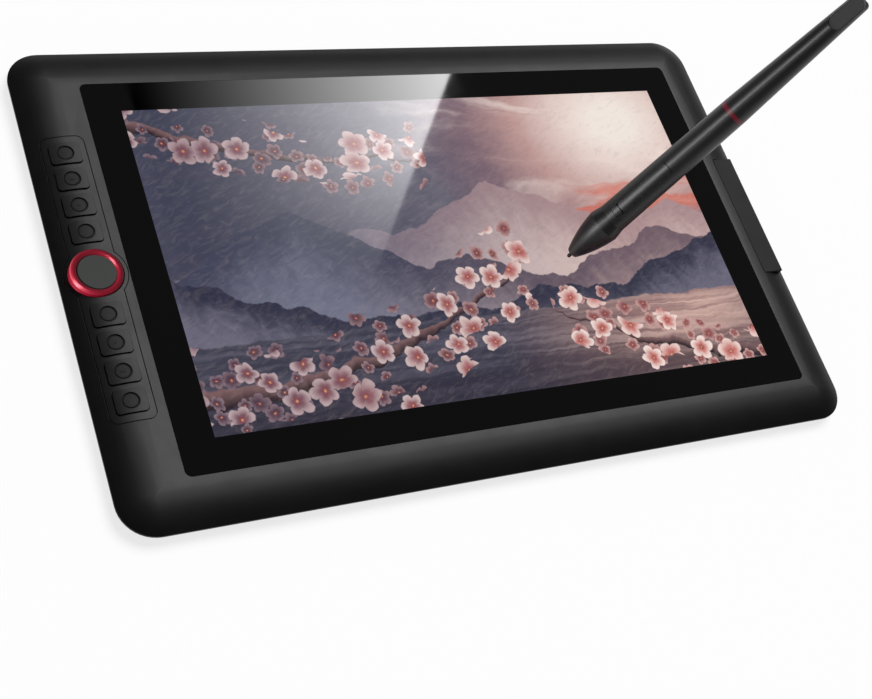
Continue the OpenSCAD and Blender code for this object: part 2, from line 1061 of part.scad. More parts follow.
module socket_plan(grow) {
    rounded(socket_w + 2 * grow, socket_h + 2 * grow, socket_h / 2 + grow - 0.01);
}

// Turns a plan shape to face +X and runs it from x0 to x1
module facing_right(x0, x1) {
    translate([x0, 0, socket_z])
        rotate([90, 0, 90])
            linear_extrude(x1 - x0)
                children();
}

module port_hood() {
    h = hood_top - hood_z;
    color("#2d2d2d")
        difference() {
            intersection() {
                translate([hood_x0, hood_l / 2, hood_z])
                    rotate([90, 0, 0])
                        linear_extrude(hood_l)
                            chamfered(hood_w, h);
                translate([hood_x0, -hood_l / 2, hood_z])
                    rotate([90, 0, 90])
                        linear_extrude(hood_w)
                            chamfered(hood_l, h);
                hood_block(0, hood_z, hood_top);
            }
            hood_block(-hood_t, 0, hood_top - hood_t);
            facing_right(hood_x1 - 2 * hood_t, hood_x1 + over)
                socket_plan(part_gap);
        }
}

module port_board() {
    x1 = hood_x1 - hood_t - part_gap;
    y = hood_l / 2 - hood_t - part_gap;
    color(board_colour)
        block(hood_x0 + hood_t + part_gap, x1, -y, y, hood_z, hood_z + port_t);
}

module usb_socket() {
    x1 = hood_x1 - socket_sunk;
    x0 = x1 - socket_l;
    color(metal_colour) {
        difference() {
            facing_right(x0, x1)
                socket_plan(0);
            facing_right(x0 + 1, x1 + over)
                socket_plan(-socket_wall);
        }
        facing_right(x0 + 0.5, x1 - 0.6)
            square([socket_tongue_w, socket_tongue_t], center = true);
    }
}

// Buttons in the rear wall

module edge_button(i) {
    x = button_xs[i];
    color("#1e1e20") {
        in_rear_wall(x, button_face_y, button_face_y - button_inner_y + button_flange_t)
            button_plan(0);
        in_rear_wall(x, button_inner_y, button_flange_t)
            square([button_l + 2 * button_flange_w, button_h], center = true);
        in_rear_wall(x, button_inner_y - button_flange_t, button_stub_l)
            circle(d = button_stub_d);
    }
}

module power_button() { edge_button(0); }
module brightness_up_button() { edge_button(1); }
module brightness_down_button() { edge_button(2); }

module button_switches() {
    z0 = floor_z + button_board_t;
    h = 2 * (button_z - z0);
    color("#55565a")
        for (x = button_xs)
            difference() {
                block(
                    x - button_switch_w / 2, x + button_switch_w / 2,
                    button_switch_y - button_switch_d, button_switch_y, z0, z0 + h
                );
                in_rear_wall(x, button_switch_y + over, over + button_travel + 2 * stem_in)
                    circle(d = button_stub_d + slide_gap);
            }
}

module button_board() {
    y1 = button_switch_y - part_gap;
    color(board_colour)
        difference() {
            block(
                button_board_x0, button_board_x1, y1 - button_board_d, y1,
                floor_z, floor_z + button_board_t
            );
            at(button_points)
                post(stake_d + 2 * slide_gap, 0, seam_z);
        }
}

// Stylus

module at_stylus() {
    translate([nib_x, nib_y, glass_z + nib_r + nib_rest])
        rotate([0, 90 - stylus_tilt, stylus_heading])
            rotate([0, 0, stylus_roll])
                children();
}

// Half section of the nose: a rounded front edge, a cone whose side bulges to a shoulder, and a neck
// down to the grip
module nose_section() {
    start = [nose_front_r, nose_side_z];
    end = [shoulder_r, shoulder_z];
    run = end - start;
    chord = norm(run);
    r = (chord * chord / 4 + nose_bulge * nose_bulge) / (2 * nose_bulge);
    centre = (start + end) / 2 + (r - nose_bulge) * [-run[1], run[0]] / chord;
    edge = start - nose_edge_r * (start - centre) / r;
    front_z = edge[1] - nose_edge_r;
    translate([0, front_z])
        square([edge[0], nose_side_z - front_z]);
    intersection() {
        translate(edge)
            circle(nose_edge_r);
        translate([0, front_z])
            square([nose_front_r, nose_side_z - front_z]);
    }
    intersection() {
        translate(centre)
            circle(r, $fn = arc_fn);
        translate([0, nose_side_z])
            square([shoulder_r, shoulder_z - nose_side_z]);
    }
    polygon([[0, shoulder_z], [shoulder_r, shoulder_z], [stylus_r, nose_l], [0, nose_l]]);
}

module stylus_nose() {
    color(stylus_colour)
        at_stylus()
            difference() {
                rotate_extrude()
                    nose_section();
                post(2 * (nib_r + part_gap), 0, nose_l);
                post(2 * (coil_r + slide_gap), coil_z, nose_l + over);
            }
}

module stylus_nib() {
    color("#0c0c0c")
        at_stylus() {
            sphere(nib_r);
            post(2 * nib_r, 0, nib_end);
        }
}

module stylus_coil() {
    color("#8a4a2a")
        at_stylus()
            difference() {
                post(2 * coil_r, coil_z, coil_end);
                post(2 * (nib_r + part_gap), 0, nose_l);
            }
}

// Plan of a side button on the +X side, run outwards from x0 to x1
module button_prism(span, grow, x0, x1) {
    mid = (span[0] + span[1]) / 2;
    translate([x0, 0, mid])
        rotate([90, 0, 90])
            linear_extrude(x1 - x0)
                rounded(side_button_w + 2 * grow, span[1] - span[0] + 2 * grow, side_button_r + grow);
}

// Part of the tapered grip, grown outwards
module grip_cone(grow, z0, z1) {
    translate([0, 0, z0])
        cylinder(r1 = grip_radius(z0) + grow, r2 = grip_radius(z1) + grow, h = z1 - z0);
}

module stylus_grip() {
    color(stylus_colour)
        at_stylus()
            difference() {
                grip_cone(0, nose_l, ring_at);
                post(2 * bore_r, nose_l - over, ring_at + over);
                button_prism([front_button_z[0], rear_button_z[1]], button_gap, 0, stylus_d);
            }
}

module side_button(span) {
    mid = (span[0] + span[1]) / 2;
    cap_x = grip_radius(span[1]) - side_button_t;
    stem_x = seat_x + stylus_board_t + side_switch_h + side_travel + flange_gap;
    color("#232325")
        at_stylus() {
            intersection() {
                grip_cone(side_button_proud, span[0], span[1]);
                button_prism(span, 0, cap_x, stylus_d);
            }
            translate([stem_x, -side_stem_w / 2, mid - side_stem_w / 2])
                cube([cap_x + side_button_t / 2 - stem_x, side_stem_w, side_stem_w]);
        }
}

module stylus_front_button() { side_button(front_button_z); }
module stylus_rear_button() { side_button(rear_button_z); }

module stylus_ring() {
    color("#7a1026")
        at_stylus()
            difference() {
                post(ring_d, ring_at, rear_at);
                post(2 * bore_r, 0, stylus_l);
            }
}

// Tapered rear barrel with a rounded end
module tail_body() {
    rotate_extrude() {
        polygon([[0, rear_at], [ring_r, rear_at], [tail_r, tail_z], [0, tail_z]]);
        translate([0, tail_z])
            square([tail_r - tail_round, tail_round]);
        intersection() {
            translate([tail_r - tail_round, tail_z])
                circle(tail_round);
            translate([0, tail_z])
                square([tail_r, tail_round]);
        }
    }
}

// A plan shape on the oblique flat, run outwards from depth below it. The shape starts at the
// flat's lower end.
module on_flat(depth, rise, length, grow) {
    w = flat_w + 2 * grow;
    rotate([0, 0, tail_turn])
        translate([flat_h, 0, stylus_l - flat_l])
            rotate([0, -flat_angle, 0])
                translate([-depth, 0, length / 2])
                    rotate([90, 0, 90])
                        linear_extrude(depth + rise)
                            rounded(w, length + 2 * grow, w / 2 - 0.01);
}

module stylus_rear() {
    color(stylus_colour)
        at_stylus()
            difference() {
                tail_body();
                on_flat(0, stylus_d, 2 * flat_l, seam_gap);
                on_flat(tail_plate_t, over, flat_l - tail_plate_end, seam_gap);
                post(2 * rear_bore_r, 0, rear_at + rear_bore_l);
            }
}

module stylus_tail_plate() {
    color("#4b4b4d")
        at_stylus()
            on_flat(tail_plate_t, 0, flat_l - tail_plate_end, 0);
}

// Trough that carries the stylus board behind the nose
module stylus_carrier() {
    color("#3b3b3d")
        at_stylus()
            difference() {
                post(2 * carrier_r, nose_l, carrier_end);
                post(2 * (carrier_r - carrier_wall), 0, carrier_end + over);
                translate([seat_x, -stylus_d, 0])
                    cube([stylus_d, 2 * stylus_d, stylus_l]);
            }
}

module stylus_board() {
    color(board_colour)
        at_stylus()
            translate([seat_x, -stylus_board_w / 2, nose_l])
                cube([stylus_board_t, stylus_board_w, stylus_board_l]);
}

module stylus_switches() {
    color("#55565a")
        at_stylus()
            for (span = [front_button_z, rear_button_z])
                translate([seat_x + stylus_board_t, -1.5, (span[0] + span[1]) / 2 - 1.5])
                    cube([side_switch_h, 3, 3]);
}

module stylus_sensor() {
    color("#8c8f93")
        at_stylus()
            difference() {
                post(2 * (carrier_r - 0.2), carrier_end, carrier_end + sensor_l);
                post(2 * (nib_r + part_gap), 0, nib_end + 2);
                translate([seat_x, -stylus_d, 0])
                    cube([stylus_d, 2 * stylus_d, stylus_l]);
            }
}

front_frame();
back_cover();
rubber_feet();
case_screws();
inner_screws();
key_panel();
key_1();
key_2();
key_3();
key_4();
key_5();
key_6();
key_7();
key_8();
key_switches();
key_board();
dial_ring();
dial_magnet();
dial_hub();
dial_sensors();
cover_glass();
optical_adhesive();
lcd_panel();
diffuser_films();
light_guide();
led_bar();
reflector_sheet();
panel_frame();
digitizer_board();
shield_sheet();
chassis_plate();
display_flex();
digitizer_flex();
flat_cables();
main_board();
board_standoffs();
board_chips();
shield_can();
port_hood();
port_board();
usb_socket();
power_button();
brightness_up_button();
brightness_down_button();
button_board();
button_switches();
stylus_nose();
stylus_nib();
stylus_grip();
stylus_ring();
stylus_rear();
stylus_tail_plate();
stylus_front_button();
stylus_rear_button();
stylus_coil();
stylus_carrier();
stylus_board();
stylus_switches();
stylus_sensor();
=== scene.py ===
import json
import math

import bpy
from mathutils import Matrix, Vector


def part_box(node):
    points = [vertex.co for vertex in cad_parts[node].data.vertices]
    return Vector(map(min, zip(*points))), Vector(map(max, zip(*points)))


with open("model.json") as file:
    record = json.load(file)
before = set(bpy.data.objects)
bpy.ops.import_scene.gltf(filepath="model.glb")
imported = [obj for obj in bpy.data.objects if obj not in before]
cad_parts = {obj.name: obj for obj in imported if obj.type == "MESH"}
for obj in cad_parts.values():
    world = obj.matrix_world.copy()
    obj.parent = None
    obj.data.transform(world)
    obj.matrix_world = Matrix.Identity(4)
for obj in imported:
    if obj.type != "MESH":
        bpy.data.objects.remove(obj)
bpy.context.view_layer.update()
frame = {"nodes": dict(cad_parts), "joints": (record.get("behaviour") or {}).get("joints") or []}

MM = 0.001
FULL_TURN = 2 * math.pi
NODES = frame["nodes"]

# Camera: where it stands, which way it looks, and its lens on a 36 mm wide sensor
EYE = Vector((-400.48, -358.51, 638.57)) * MM
LOOK = Vector((0.46768, 0.37483, -0.80049))
RIGHT = Vector((0.87662, -0.31269, 0.36574))
LENS = 60.765
SENSOR = 36.0

# Screen: the glass, and the picture that the panel below it shows
GLASS_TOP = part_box("cover_glass")[1].z
PANEL_LOW, PANEL_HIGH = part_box("lcd_panel")
PANEL_MARGIN = Vector((4.0, 5.0, 0.0)) * MM
PICTURE_LOW = PANEL_LOW + PANEL_MARGIN
PICTURE_HIGH = PANEL_HIGH - PANEL_MARGIN
PICTURE_D = PICTURE_HIGH.y - PICTURE_LOW.y
PICTURE_EDGE = 0.15 * MM

# Keys: where they are, and the dimple in each
KEY_BOXES = [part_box(f"key_{number}") for number in range(1, 9)]
DIMPLE_R = 4.25 * MM
DIMPLE_RIM = 1.0 * MM

# Dial and stylus: the middle of the ring, and the axis that the stylus lifts along
DIAL_LOW, DIAL_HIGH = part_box("dial_ring")
DIAL_CENTRE = (DIAL_LOW + DIAL_HIGH) / 2
JOINTS = {joint["name"]: joint for joint in frame["joints"]}
STYLUS_AXIS = Vector(JOINTS["stylus_lift"]["axis"])

# Light: a broad sun for the casing, a tall strip for the stylus and the dial, and a dim sky
SUN_FROM = Vector((0.395, 0.395, 0.83))
SUN_STRENGTH = 3.3
SUN_WIDTH = math.radians(40)
STRIP_FROM = Vector((-0.958, -0.155, 0.205))
STRIP_DISTANCE = 1.6
STRIP_SIZE = (0.6, 4.2)
STRIP_POWER = 53.0
SKY_LOW, SKY_HIGH = 0.22, 0.11
SKY_LOW_AT, SKY_HIGH_AT = 0.02, 0.45

# Floor: half its side, its paper, and the share of its light that it gives by itself
FLOOR_HALF = 60.0
PAPER_DARK, PAPER_PALE = (0.92, 0.92, 0.92), (0.93, 0.93, 0.93)
FLOOR_GLOW = 0.78

# Gloss card: its reflection, as an outline on the glass, has a sharp edge from CARD_TOP to CARD_FOOT
CARD_HEIGHT = 0.9
CARD_STRENGTH = 14.5
CARD_FALL = 1.8
CARD_TOP = Vector((50.0, 130.0)) * MM
CARD_FOOT = Vector((-65.0, -31.0)) * MM
CARD_LEFT = -160.0 * MM
BLACK, WHITE = (0.0, 0.0, 0.0), (1.0, 1.0, 1.0)


# Node materials by short calls

# Cosine of the turn at which a rolled normal counts as a worn edge
EDGE_TURN = 0.85


def srgb(red, green, blue):
    """A colour given as it shows on a screen, from 0 to 255, in linear light."""
    shares = [value / 255 for value in (red, green, blue)]
    return tuple(s / 12.92 if s <= 0.04045 else ((s + 0.055) / 1.055) ** 2.4 for s in shares)


def shade(colour, factor):
    return tuple(factor * c for c in colour)


class Field:
    """A number that varies over a surface. Arithmetic on it adds math nodes."""

    def __init__(self, finish, socket):
        self.finish = finish
        self.socket = socket

    def math(self, operation, *others):
        made = self.finish.node("ShaderNodeMath", operation=operation)
        for socket, value in zip(made.inputs, (self, *others)):
            self.finish.feed(socket, value)
        return Field(self.finish, made.outputs[0])

    def __add__(self, other):
        return self.math("ADD", other)

    def __sub__(self, other):
        return self.math("SUBTRACT", other)

    def __rsub__(self, other):
        return self.math("MULTIPLY_ADD", -1.0, other)

    def __mul__(self, other):
        return self.math("MULTIPLY", other)

    def __truediv__(self, other):
        return self.math("DIVIDE", other)

    def __pow__(self, other):
        return self.math("POWER", other)

    def __abs__(self):
        return self.math("ABSOLUTE")

    __radd__ = __add__
    __rmul__ = __mul__

    def step(self, low, high):
        """Rises smoothly from 0 at low to 1 at high, or falls if low is the larger."""
        made = self.finish.node("ShaderNodeMapRange", interpolation_type="SMOOTHSTEP")
        for socket, value in zip(made.inputs, (self, low, high, 0.0, 1.0)):
            self.finish.feed(socket, value)
        return Field(self.finish, made.outputs[0])


class Finish:
    """A procedural material, with its texture coordinates in the part's own metres."""

    def __init__(self, name):
        self.material = bpy.data.materials.new(name)
        self.material.use_nodes = True
        self.nodes = self.material.node_tree.nodes
        self.links = self.material.node_tree.links
        self.surface = self.nodes["Principled BSDF"]
        self.place = self.nodes.new("ShaderNodeTexCoord").outputs["Object"]

    def feed(self, socket, value):
        if isinstance(value, Field):
            value = value.socket
        if isinstance(value, bpy.types.NodeSocket):
            self.links.new(value, socket)
        elif socket.type == "RGBA":
            socket.default_value = (*value, 1.0)
        else:
            socket.default_value = value

    def node(self, kind, inputs=None, **settings):
        made = self.nodes.new(kind)
        for key, value in settings.items():
            setattr(made, key, value)
        for key, value in (inputs or {}).items():
            self.feed(made.inputs[key], value)
        return made

    def set(self, **inputs):
        """Sets the surface's inputs, named with underscores for spaces."""
        for key, value in inputs.items():
            self.feed(self.surface.inputs[key.replace("_", " ")], value)

    def axes(self, vector=None):
        parts = self.node("ShaderNodeSeparateXYZ", {"Vector": vector or self.place}).outputs
        return [Field(self, part) for part in parts]

    def vector(self, x, y, z=0.0):
        return self.node("ShaderNodeCombineXYZ", {"X": x, "Y": y, "Z": z}).outputs[0]

    def along(self, axis):
        """Distance along an axis through the origin."""
        made = self.node("ShaderNodeVectorMath", operation="DOT_PRODUCT")
        self.feed(made.inputs[0], self.place)
        self.feed(made.inputs[1], axis)
        return Field(self, made.outputs["Value"])

    def radius(self, centre):
        """Distance from an upright axis."""
        x, y, _ = self.axes()
        return ((x - centre.x) ** 2.0 + (y - centre.y) ** 2.0) ** 0.5

    def noise(self, size, detail=2.0, vector=None, distortion=0.0):
        """Noise from 0 to 1 with blobs of about this size."""
        made = self.node(
            "ShaderNodeTexNoise",
            {"Vector": vector or self.place, "Scale": 1 / size, "Detail": detail,
             "Distortion": distortion},
        )
        return Field(self, made.outputs["Fac"])

    def line_noise(self, x, scale, detail=4.0):
        """Noise along one coordinate."""
        made = self.node(
            "ShaderNodeTexNoise", {"W": x, "Scale": scale, "Detail": detail}, noise_dimensions="1D"
        )
        return Field(self, made.outputs["Fac"])

    def cells(self, size, feature="F1", distance="EUCLIDEAN"):
        """Distance to the middle of cells of about this size, or to their edge."""
        made = self.node(
            "ShaderNodeTexVoronoi", {"Vector": self.place, "Scale": 1 / size}, feature=feature
        )
        if feature != "DISTANCE_TO_EDGE":
            made.distance = distance
        return Field(self, made.outputs["Distance"])

    def mix(self, share, first, second):
        """A colour between two, by a share from 0 to 1."""
        made = self.node("ShaderNodeMix", data_type="RGBA")
        for at, value in ((0, share), (6, first), (7, second)):
            self.feed(made.inputs[at], value)
        return made.outputs[2]

    def ramp(self, share, stops):
        """A colour by stops of (share, colour)."""
        made = self.node("ShaderNodeValToRGB", {"Fac": share})
        points = made.color_ramp.elements
        while len(points) < len(stops):
            points.new(1.0)
        for point, (at, colour) in zip(points, stops):
            point.position = at
            point.color = (*colour, 1.0)
        return made.outputs["Color"]

    def soft_edges(self, radius):
        """A normal that rolls over sharp edges, and how near an edge the point is, from 0 to 1."""
        rolled = self.node("ShaderNodeBevel", {"Radius": radius}, samples=4).outputs["Normal"]
        face = self.node("ShaderNodeNewGeometry").outputs["Normal"]
        made = self.node("ShaderNodeVectorMath", operation="DOT_PRODUCT")
        self.feed(made.inputs[0], rolled)
        self.feed(made.inputs[1], face)
        return rolled, Field(self, made.outputs["Value"]).step(1.0, EDGE_TURN)

    def waves(self, field, pitch):
        """A sine along a distance."""
        return (field * (FULL_TURN / pitch)).math("SINE")

    def relief(self, height, depth, normal=None):
        inputs = {"Height": height, "Distance": depth}
        if normal:
            inputs["Normal"] = normal
        self.set(Normal=self.node("ShaderNodeBump", inputs).outputs["Normal"])


# Plastics and rubber

# Moulded plastic: its grain and patches, how far their tone and sheen vary, and how worn edges differ
GRAIN = 0.25 * MM
PATCH = 14 * MM
DARKER, PALER, RUBBED = 0.86, 1.14, 1.6
UNEVEN_SHEEN = 0.12
EDGE_SHEEN = 0.08
PLASTIC_EDGE = 0.2 * MM
GRAIN_DEPTH = 0.005 * MM


def plastic_sheen(roughness, patches, wear):
    return roughness + (patches - 0.5) * UNEVEN_SHEEN - wear * EDGE_SHEEN


def moulded(name, colour, roughness, specular, grain=GRAIN, depth=GRAIN_DEPTH):
    """Moulded plastic: a spark-eroded grain, patches of uneven sheen, and edges rubbed smoother."""
    f = Finish(name)
    rolled, wear = f.soft_edges(PLASTIC_EDGE)
    patches = f.noise(PATCH, detail=3.0)
    speckle = f.noise(grain, detail=1.0)
    tone = f.mix(patches * 0.5 + speckle * 0.5, shade(colour, DARKER), shade(colour, PALER))
    f.set(
        Base_Color=f.mix(wear * 0.5, tone, shade(colour, RUBBED)),
        Roughness=plastic_sheen(roughness, patches, wear),
        Specular_IOR_Level=specular,
    )
    f.relief(speckle, depth, rolled)
    return f.material


def thumbed_key(name, colour, roughness, specular):
    """A moulded key whose dimple has a duller grain, with a soft band of painted shade along its rim,
    where the groove lies in shadow, and a duller sheen there.
    """
    f = Finish(name)
    rolled, wear = f.soft_edges(PLASTIC_EDGE)
    patches = f.noise(PATCH, detail=3.0)
    speckle = f.noise(GRAIN, detail=1.0)
    offs = [f.radius((low + high) / 2) for low, high in KEY_BOXES]
    off = offs[0]
    for other in offs[1:]:
        off = off.math("MINIMUM", other)
    inside = off.step(DIMPLE_R, DIMPLE_R - DIMPLE_RIM / 2)
    # Painted shade: a soft band along the dimple's rim, darkened below to half the key's colour where
    # the groove lies in shadow; the band is also rougher
    rim = abs(off - (DIMPLE_R - DIMPLE_RIM / 3)).step(DIMPLE_RIM, 0.0)
    tone = f.mix(patches * 0.5 + speckle * 0.5, colour, shade(colour, PALER))
    f.set(
        Base_Color=f.mix(rim * 0.8, tone, shade(colour, 0.5)),
        Roughness=plastic_sheen(roughness, patches, wear) + inside * 0.12 + rim * 0.26,
        Specular_IOR_Level=specular,
    )
    f.relief(speckle * (1.0 + inside * 3.0), GRAIN_DEPTH, rolled)
    return f.material


def rubber(name, colour):
    f = Finish(name)
    rolled, wear = f.soft_edges(0.4 * MM)
    dust = f.noise(6 * MM, detail=5.0)
    f.set(
        Base_Color=f.mix(dust.step(0.45, 0.8), colour, shade(colour, 2.2)),
        Roughness=0.72 + (dust - 0.5) * 0.2 - wear * 0.05,
        Specular_IOR_Level=0.3,
    )
    f.relief(f.cells(0.5 * MM), 0.05 * MM, rolled)
    return f.material


# Metals

def metal(name, colour, roughness, brush=(1.0, 1.0, 1.0)):
    """Bare metal with brush marks, drawn out along the axes with the smallest numbers."""
    f = Finish(name)
    rolled, wear = f.soft_edges(0.12 * MM)
    x, y, z = f.axes()
    drawn = f.vector(x * brush[0], y * brush[1], z * brush[2])
    marks = f.noise(0.5 * MM, detail=3.0, vector=drawn)
    stains = f.noise(9 * MM, detail=4.0)
    f.set(
        Base_Color=f.mix(marks * 0.6 + stains * 0.4, shade(colour, 0.8), colour),
        Metallic=1.0,
        Roughness=roughness + (stains - 0.5) * 0.15 - wear * 0.1,
    )
    f.relief(marks, 0.006 * MM, rolled)
    return f.material


def anodised_ring(name, colour):
    """Turned and anodised: fine rings about the dial's axis under a satin colour."""
    f = Finish(name)
    rolled, wear = f.soft_edges(0.2 * MM)
    turning = f.line_noise(f.radius(DIAL_CENTRE), 1 / (0.12 * MM), detail=2.0)
    patches = f.noise(5 * MM, detail=3.0)
    f.set(
        Base_Color=f.mix(patches * 0.6 + wear * 0.4, colour, shade(colour, 1.35)),
        Metallic=0.45,
        Roughness=0.36 + (turning - 0.5) * 0.1,
        Specular_IOR_Level=0.5,
        Coat_Weight=1.0,
        Coat_Roughness=0.28,
    )
    f.relief(turning, 0.004 * MM, rolled)
    return f.material


def wound_copper(name):
    """Enamelled wire, wound close about the stylus axis."""
    f = Finish(name)
    wires = f.waves(f.along(STYLUS_AXIS), 0.2 * MM) * 0.5 + 0.5
    f.set(
        Base_Color=f.mix(wires, srgb(96, 46, 22), srgb(190, 108, 62)),
        Metallic=0.8,
        Roughness=0.42 - wires * 0.12,
    )
    f.relief(wires, 0.05 * MM)
    return f.material


# Electronics and screen layers

def circuit_board(name):
    """Solder mask over tracks, with tinned pads."""
    f = Finish(name)
    tracks = f.cells(5 * MM, feature="DISTANCE_TO_EDGE").step(0.09, 0.04)
    pads = f.cells(3.4 * MM, distance="CHEBYCHEV").step(0.17, 0.13)
    mask = f.mix(tracks, srgb(18, 70, 40), srgb(40, 112, 62))
    f.set(
        Base_Color=f.mix(pads, mask, srgb(206, 196, 168)),
        Metallic=pads,
        Roughness=0.42 - pads * 0.1,
    )
    f.relief(tracks * 0.5 + pads * 0.5, 0.03 * MM)
    return f.material


def flex_film(name, film, track):
    """Flat film with tracks side by side along it."""
    f = Finish(name)
    x, y, _ = f.axes()
    lines = f.waves(x + y * 0.02, 1.0 * MM).step(-0.1, 0.3)
    f.set(
        Base_Color=f.mix(lines, film, track),
        Metallic=lines * 0.5,
        Roughness=0.34 + f.noise(3 * MM) * 0.1,
    )
    f.relief(lines, 0.02 * MM)
    return f.material


def chip_case(name):
    f = Finish(name)
    rolled, wear = f.soft_edges(0.15 * MM)
    fill = f.noise(0.3 * MM, detail=3.0)
    f.set(
        Base_Color=f.mix(fill * 0.7 + wear * 0.3, srgb(22, 22, 24), srgb(48, 48, 50)),
        Roughness=0.55 + fill * 0.15,
        Specular_IOR_Level=0.4,
    )
    f.relief(fill, 0.02 * MM, rolled)
    return f.material


def optical_film(name):
    """White diffusing film with a faint prism ribbing."""
    f = Finish(name)
    _, y, _ = f.axes()
    ribs = f.waves(y, 0.4 * MM) * 0.5 + 0.5
    f.set(
        Base_Color=f.mix(f.noise(20 * MM), srgb(226, 228, 228), srgb(246, 247, 245)),
        Roughness=0.4 + ribs * 0.1,
    )
    f.relief(ribs, 0.03 * MM)
    return f.material


def clear_sheet(name, colour, pitch):
    """Clear sheet with a fine dot pattern in its surface."""
    f = Finish(name)
    dots = f.cells(pitch).step(0.35, 0.25)
    f.set(
        Base_Color=f.mix(dots, colour, srgb(250, 250, 250)),
        Roughness=0.06 + dots * 0.3,
        Transmission_Weight=0.9,
        IOR=1.49,
    )
    f.relief(dots, 0.01 * MM)
    return f.material


def panel_cell(name):
    """The panel's dark cell, with its grid of rows."""
    f = Finish(name)
    x, y, _ = f.axes()
    pitch = 0.54 * MM
    rows = (f.waves(x, pitch) * f.waves(y, pitch)).step(0.0, 0.6)
    f.set(
        Base_Color=f.mix(rows, srgb(20, 21, 26), srgb(40, 42, 54)),
        Roughness=0.2 + rows * 0.1,
    )
    return f.material


# The picture on the screen: blossom boughs over a mountain lake at dusk. Its coordinates run across
# from 0, with the picture's height as the unit, and up from 0 to 1.

# The sky: its glow, and its colours by their share of the way out from it
GLOW_AT = (1.58, 0.88)
GLOW_REACH = 1.5
GLOW_SQUASH = 1.15
SKY_STOPS = (
    (0.05, (240, 229, 221)), (0.13, (226, 205, 198)), (0.24, (188, 150, 146)),
    (0.36, (128, 104, 114)), (0.50, (100, 97, 112)), (0.98, (66, 68, 86)),
)
PALE_CLOUD, DARK_CLOUD, RED_CLOUD = srgb(240, 224, 216), srgb(74, 70, 90), srgb(206, 104, 84)

# The lake: its far shore, and its water and ripples away from the glow and under it
LAKE_TOP = 0.25
SHORE_BLUR = 0.004
WATER, WATER_LIT = srgb(58, 58, 74), srgb(150, 116, 114)
RIPPLE, RIPPLE_LIT = srgb(84, 82, 98), srgb(206, 172, 162)
LAKE_FOOT = srgb(44, 40, 54)

# Mountain ranges, from far to near. Summits are (place, half width, height), and a crest or a mist is
# (where the light starts, where it is full, colour in the dusk, colour in the light).
RANGES = (
    {"base": 0.45, "rough": 0.10, "scale": 3.0, "shift": 2.0, "depth": 0.26,
     "summits": ((1.04, 0.55, 0.24), (0.62, 0.4, 0.1), (1.66, 0.35, 0.13)),
     "crest": (0.4, 1.4, (110, 104, 120), (168, 138, 140)),
     "mist": (0.4, 1.5, (128, 124, 140), (216, 192, 186))},
    {"base": 0.35, "rough": 0.12, "scale": 4.0, "shift": 11.0, "depth": 0.30,
     "summits": ((0.36, 0.5, 0.30), (0.86, 0.34, 0.1), (1.58, 0.4, 0.14)),
     "crest": (0.5, 1.6, (66, 68, 88), (112, 92, 102)),
     "mist": (0.4, 1.5, (112, 114, 134), (190, 164, 162))},
    {"base": 0.28, "rough": 0.08, "scale": 7.0, "shift": 23.0, "depth": 0.16,
     "summits": ((0.0, 0.45, 0.18), (1.80, 0.5, 0.18), (1.2, 0.3, 0.04)),
     "crest": (0.4, 1.5, (50, 51, 70), (50, 51, 70)),
     "mist": (0.4, 1.5, (104, 102, 120), (104, 102, 120))},
)
CREST_BLUR = 0.003

# Boughs: start, end, bend at the middle, thickness, and how far from it the blossoms spread
BOUGHS = (
    ((-0.05, 0.97), (0.86, 0.80), -0.06, 0.022, 0.15),
    ((1.86, 0.02), (1.10, 0.24), -0.05, 0.026, 0.17),
    ((-0.05, 0.10), (1.08, 0.42), -0.10, 0.034, 0.20),
)
BARK_DARK, BARK_LIT = srgb(34, 26, 34), srgb(122, 92, 94)

# Blossoms: cell size, seed, how many, and the petals' rim and inner colour in the dusk and in the light
BLOSSOM_LIGHT = (0.1, 1.5)
BLOSSOMS = (
    (0.062, 3.0, 0.9, ((132, 110, 120), (206, 164, 158)), ((78, 58, 72), (140, 84, 86))),
    (0.105, 8.5, 0.95, ((186, 164, 168), (244, 226, 218)), ((116, 80, 92), (198, 120, 114))),
)
STAMENS, HEART = srgb(226, 184, 130), srgb(140, 50, 58)

# Brush: the tones of its strokes, and how far they waver
STROKE_PALE, STROKE_DARK = srgb(226, 206, 200), srgb(52, 44, 58)
WAVER = 0.035


def in_light(f, x, start, full, dusk, lit):
    """A colour of the picture that turns from dusk to light across it."""
    return f.mix(x.step(start, full), srgb(*dusk), srgb(*lit))


def peaks(x, summits):
    """Height of pointed hills."""
    total = None
    for at, half, height in summits:
        hill = (height - abs(x - at) * (height / half)).math("MAXIMUM", 0.0)
        total = hill if total is None else total.math("MAXIMUM", hill)
    return total


def lay_range(f, below, x, y, hills):
    """Puts a range in front of a picture: a broken skyline, ribbed and dark at the crest, fading into
    mist below it."""
    rough, depth = hills["rough"], hills["depth"]
    broken = f.line_noise(x + hills["shift"], hills["scale"], detail=7.0) * rough
    skyline = peaks(x, hills["summits"]) + broken + (hills["base"] - rough / 2)
    slanted = f.vector(x * 1.6 + y * 0.9, y * 0.8 - x * 0.5, depth)
    ribs = f.noise(0.09, detail=6.0, vector=slanted, distortion=1.2)
    fade = (skyline - y + (ribs - 0.5) * 0.16).step(0.0, depth)
    slope = f.mix(fade, in_light(f, x, *hills["crest"]), in_light(f, x, *hills["mist"]))
    return f.mix((skyline - y).step(-CREST_BLUR, CREST_BLUR), below, slope)


